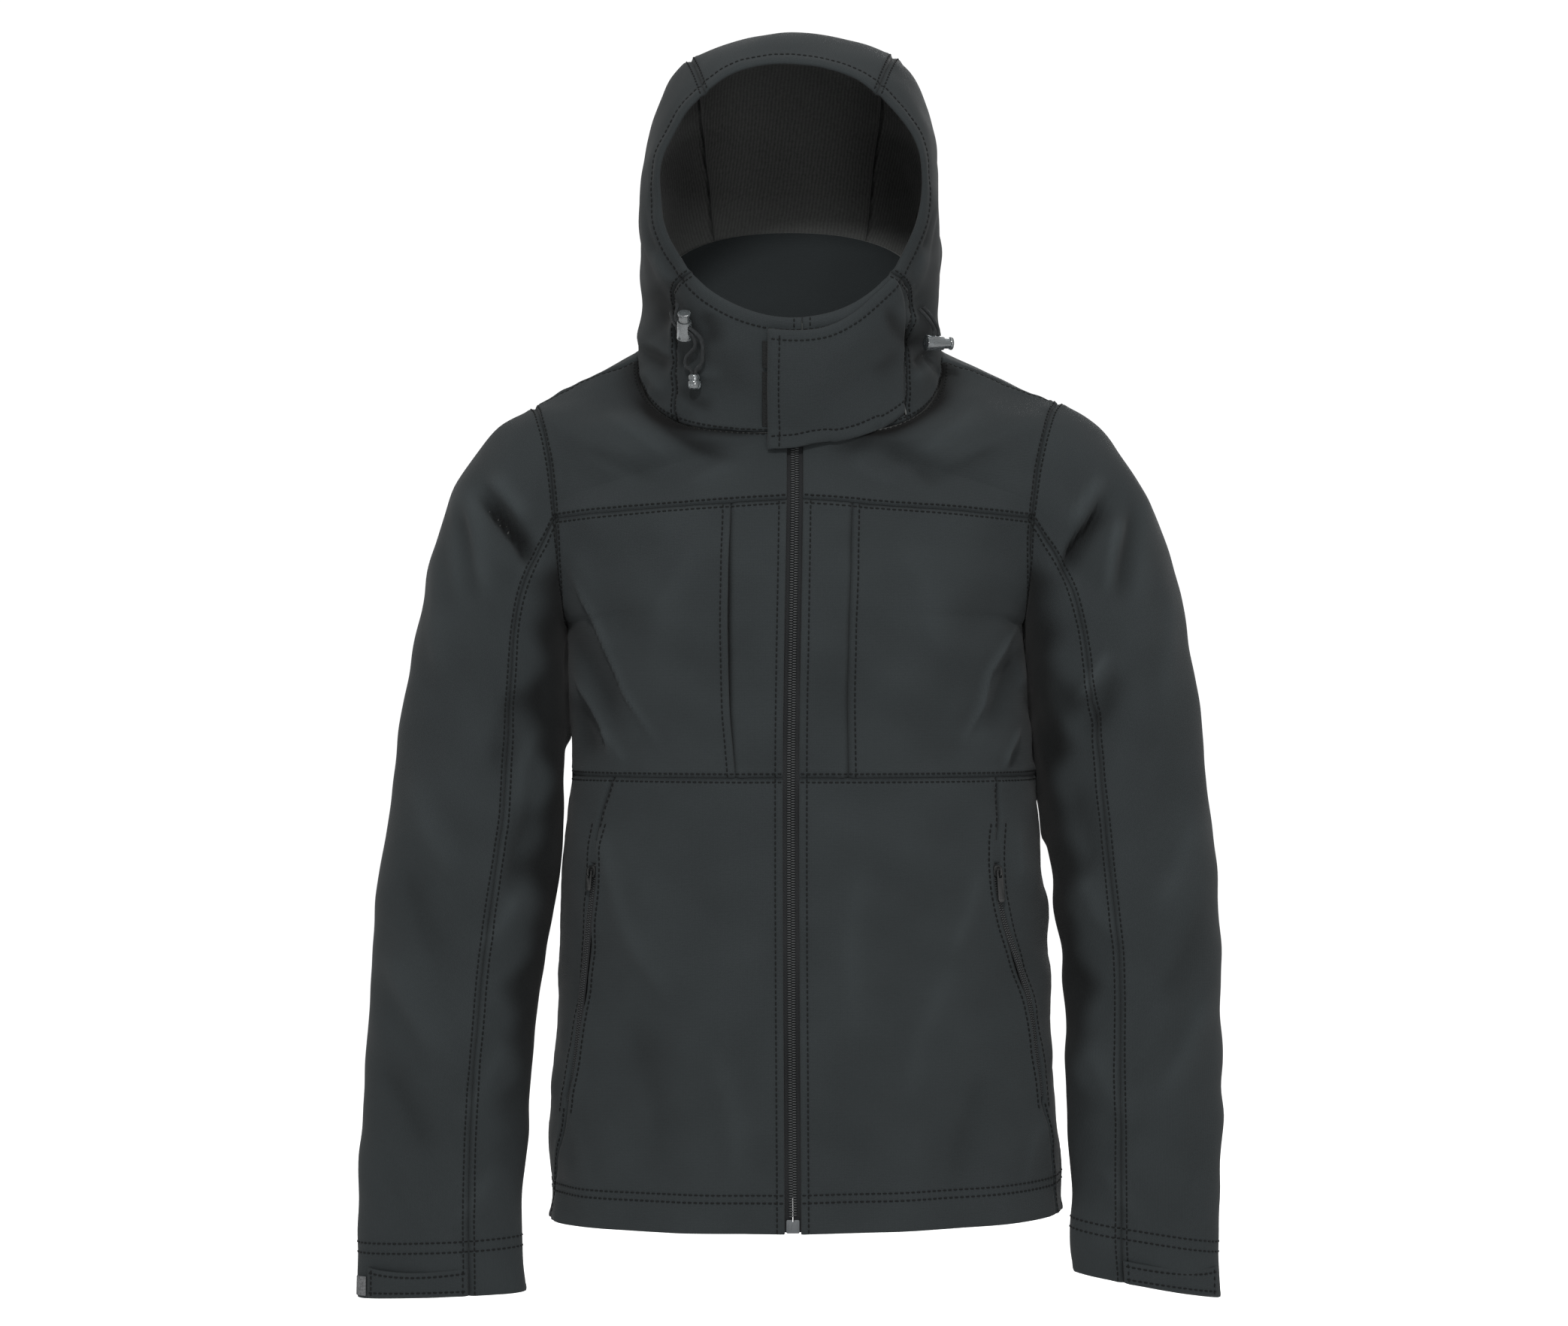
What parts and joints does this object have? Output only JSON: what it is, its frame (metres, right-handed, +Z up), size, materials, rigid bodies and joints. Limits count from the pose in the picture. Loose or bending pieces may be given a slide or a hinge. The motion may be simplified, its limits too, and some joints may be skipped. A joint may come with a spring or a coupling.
{
  "type": "hooded softshell jacket",
  "caption": "Zip-front hooded softshell jacket in its worn shape, hollow, with yokes, zipped hand pockets, a chin flap and hood cord locks.",
  "frame": {"origin": "where the wearer's shoulders and neck carry it: on the centre line, level with the high shoulder points, at mid depth of the shoulders", "axes": "+X to the wearer's left (the picture's right), -Y out of the front, +Z up"},
  "size_m": [0.6851, 0.2373, 1.0021],
  "materials": {
    "softshell": "fine plain-weave softshell, matt, brushed dark back",
    "zip_tape": "woven zip tape, matt",
    "zip_coil": "moulded nylon coil, half matt",
    "grey_plastic": "moulded grey end box, half matt",
    "black_plastic": "moulded black slider and pull, smooth",
    "clear_plastic": "clear moulded plastic, smooth",
    "hook_and_loop": "hook-and-loop tape, matt",
    "cord": "braided round cord, matt"
  },
  "bodies": {
    "jacket": {"lower_front_right": "softshell", "lower_side_right": "softshell", "centre_strip_right": "softshell", "chest_front_right": "softshell", "front_yoke_right": "softshell", "lower_front_left": "softshell", "lower_side_left": "softshell", "centre_strip_left": "softshell", "chest_front_left": "softshell", "front_yoke_left": "softshell", "back_body": "softshell", "back_yoke": "softshell", "top_sleeve_right": "softshell", "under_sleeve_right": "softshell", "cuff_tab_right": "softshell", "top_sleeve_left": "softshell", "under_sleeve_left": "softshell", "cuff_tab_left": "softshell", "hood_chin_right": "softshell", "hood_side_right": "softshell", "hood_chin_left": "softshell", "hood_side_left": "softshell", "hood_centre": "softshell", "neck_band": "softshell", "chin_flap": "softshell", "pocket_garage_right": "softshell", "pocket_garage_left": "softshell", "zip_tape_right": "zip_tape", "zip_tape_left": "zip_tape", "zip_chain": "zip_coil", "pocket_zip_right": "zip_coil", "pocket_zip_left": "zip_coil", "zip_slider": "zip_coil", "zip_pull": "zip_coil", "pocket_slider_right": "black_plastic", "pocket_slider_left": "black_plastic", "zip_end_box": "grey_plastic", "cord_lock_right": "clear_plastic", "lock_plunger_right": "clear_plastic", "cord_lock_left": "clear_plastic", "lock_plunger_left": "clear_plastic", "cord_end_right": "clear_plastic", "right_cord_outer": "cord", "right_cord_inner": "cord", "left_cord_inner": "cord", "left_cord_outer": "cord", "loop_strip_upper": "hook_and_loop", "loop_strip_lower": "hook_and_loop", "cuff_patch_right": "hook_and_loop"},
    "right_pocket_pull": {"pocket_pull_right": "black_plastic"},
    "left_pocket_pull": {"pocket_pull_left": "black_plastic"}
  },
  "joints": [
    {"name": "right_pull_hinge", "type": "hinge", "parent": "jacket", "child": "right_pocket_pull", "pos_m": [-0.15725, -0.07155, -0.40984], "axis": [-0.6731, 0.7349, 0.083], "range_deg": [0, 110]},
    {"name": "left_pull_hinge", "type": "hinge", "parent": "jacket", "child": "left_pocket_pull", "pos_m": [0.16248, -0.08027, -0.40913], "axis": [-0.8087, -0.5855, -0.056], "range_deg": [0, 110]}
  ]
}
